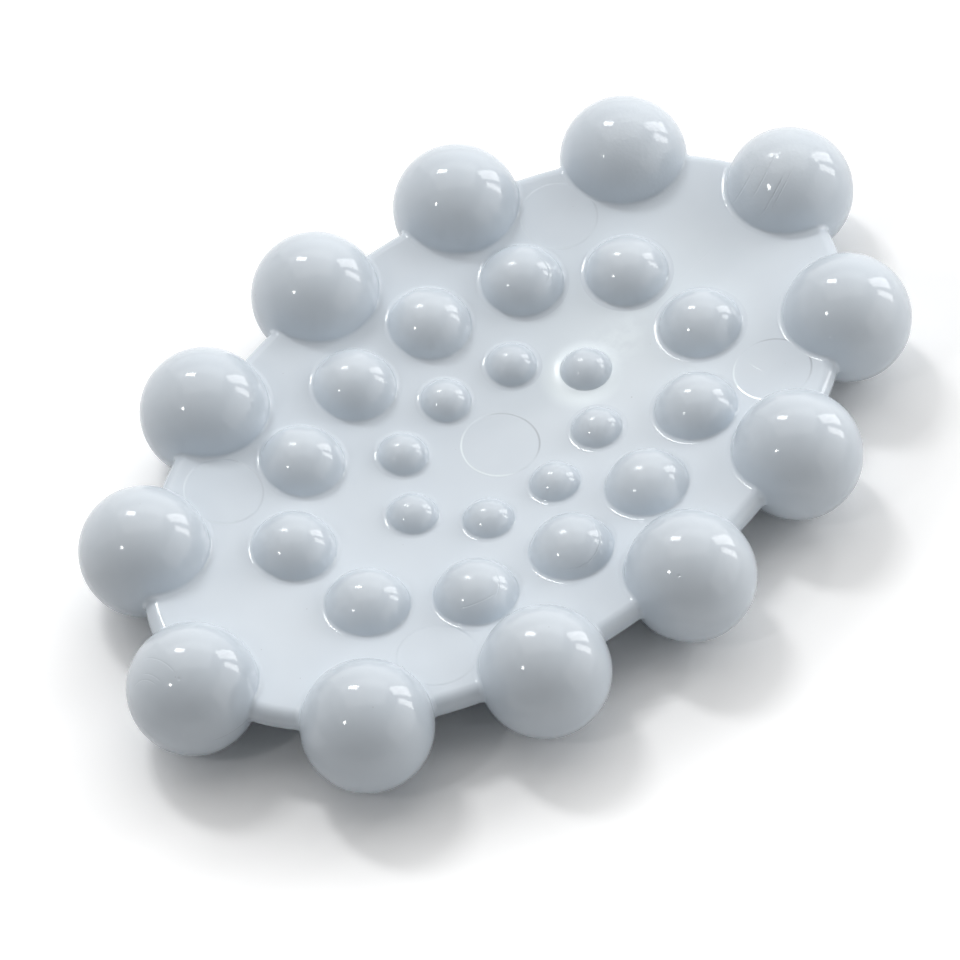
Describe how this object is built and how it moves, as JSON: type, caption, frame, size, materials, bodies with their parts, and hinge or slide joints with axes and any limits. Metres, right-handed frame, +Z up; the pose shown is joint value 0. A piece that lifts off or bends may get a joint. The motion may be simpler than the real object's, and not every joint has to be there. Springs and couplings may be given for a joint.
{
  "type": "soap dish",
  "caption": "Oval soap dish: a shallow dished plate ringed with balls that form its rim and feet, its floor set with round studs that hold the soap clear of water.",
  "frame": {"origin": "on the table, under the middle of the dish", "axes": "+X along the dish's long way, +Y across it, +Z up"},
  "size_m": [0.1498, 0.0998, 0.0197],
  "materials": {
    "tray": "glossy moulded, pale blue-grey white",
    "balls": "glossy moulded, pale blue-grey white",
    "studs": "glossy moulded, pale blue-grey white"
  },
  "bodies": {
    "root": {"tray_plate": "tray", "rim_ball_01": "balls", "rim_ball_02": "balls", "rim_ball_03": "balls", "rim_ball_04": "balls", "rim_ball_05": "balls", "rim_ball_06": "balls", "rim_ball_07": "balls", "rim_ball_08": "balls", "rim_ball_09": "balls", "rim_ball_10": "balls", "rim_ball_11": "balls", "rim_ball_12": "balls", "large_stud_01": "studs", "large_stud_02": "studs", "large_stud_03": "studs", "large_stud_04": "studs", "large_stud_05": "studs", "large_stud_06": "studs", "large_stud_07": "studs", "large_stud_08": "studs", "large_stud_09": "studs", "large_stud_10": "studs", "large_stud_11": "studs", "large_stud_12": "studs", "small_stud_01": "studs", "small_stud_02": "studs", "small_stud_03": "studs", "small_stud_04": "studs", "small_stud_05": "studs", "small_stud_06": "studs", "small_stud_07": "studs", "small_stud_08": "studs"}
  },
  "joints": []
}
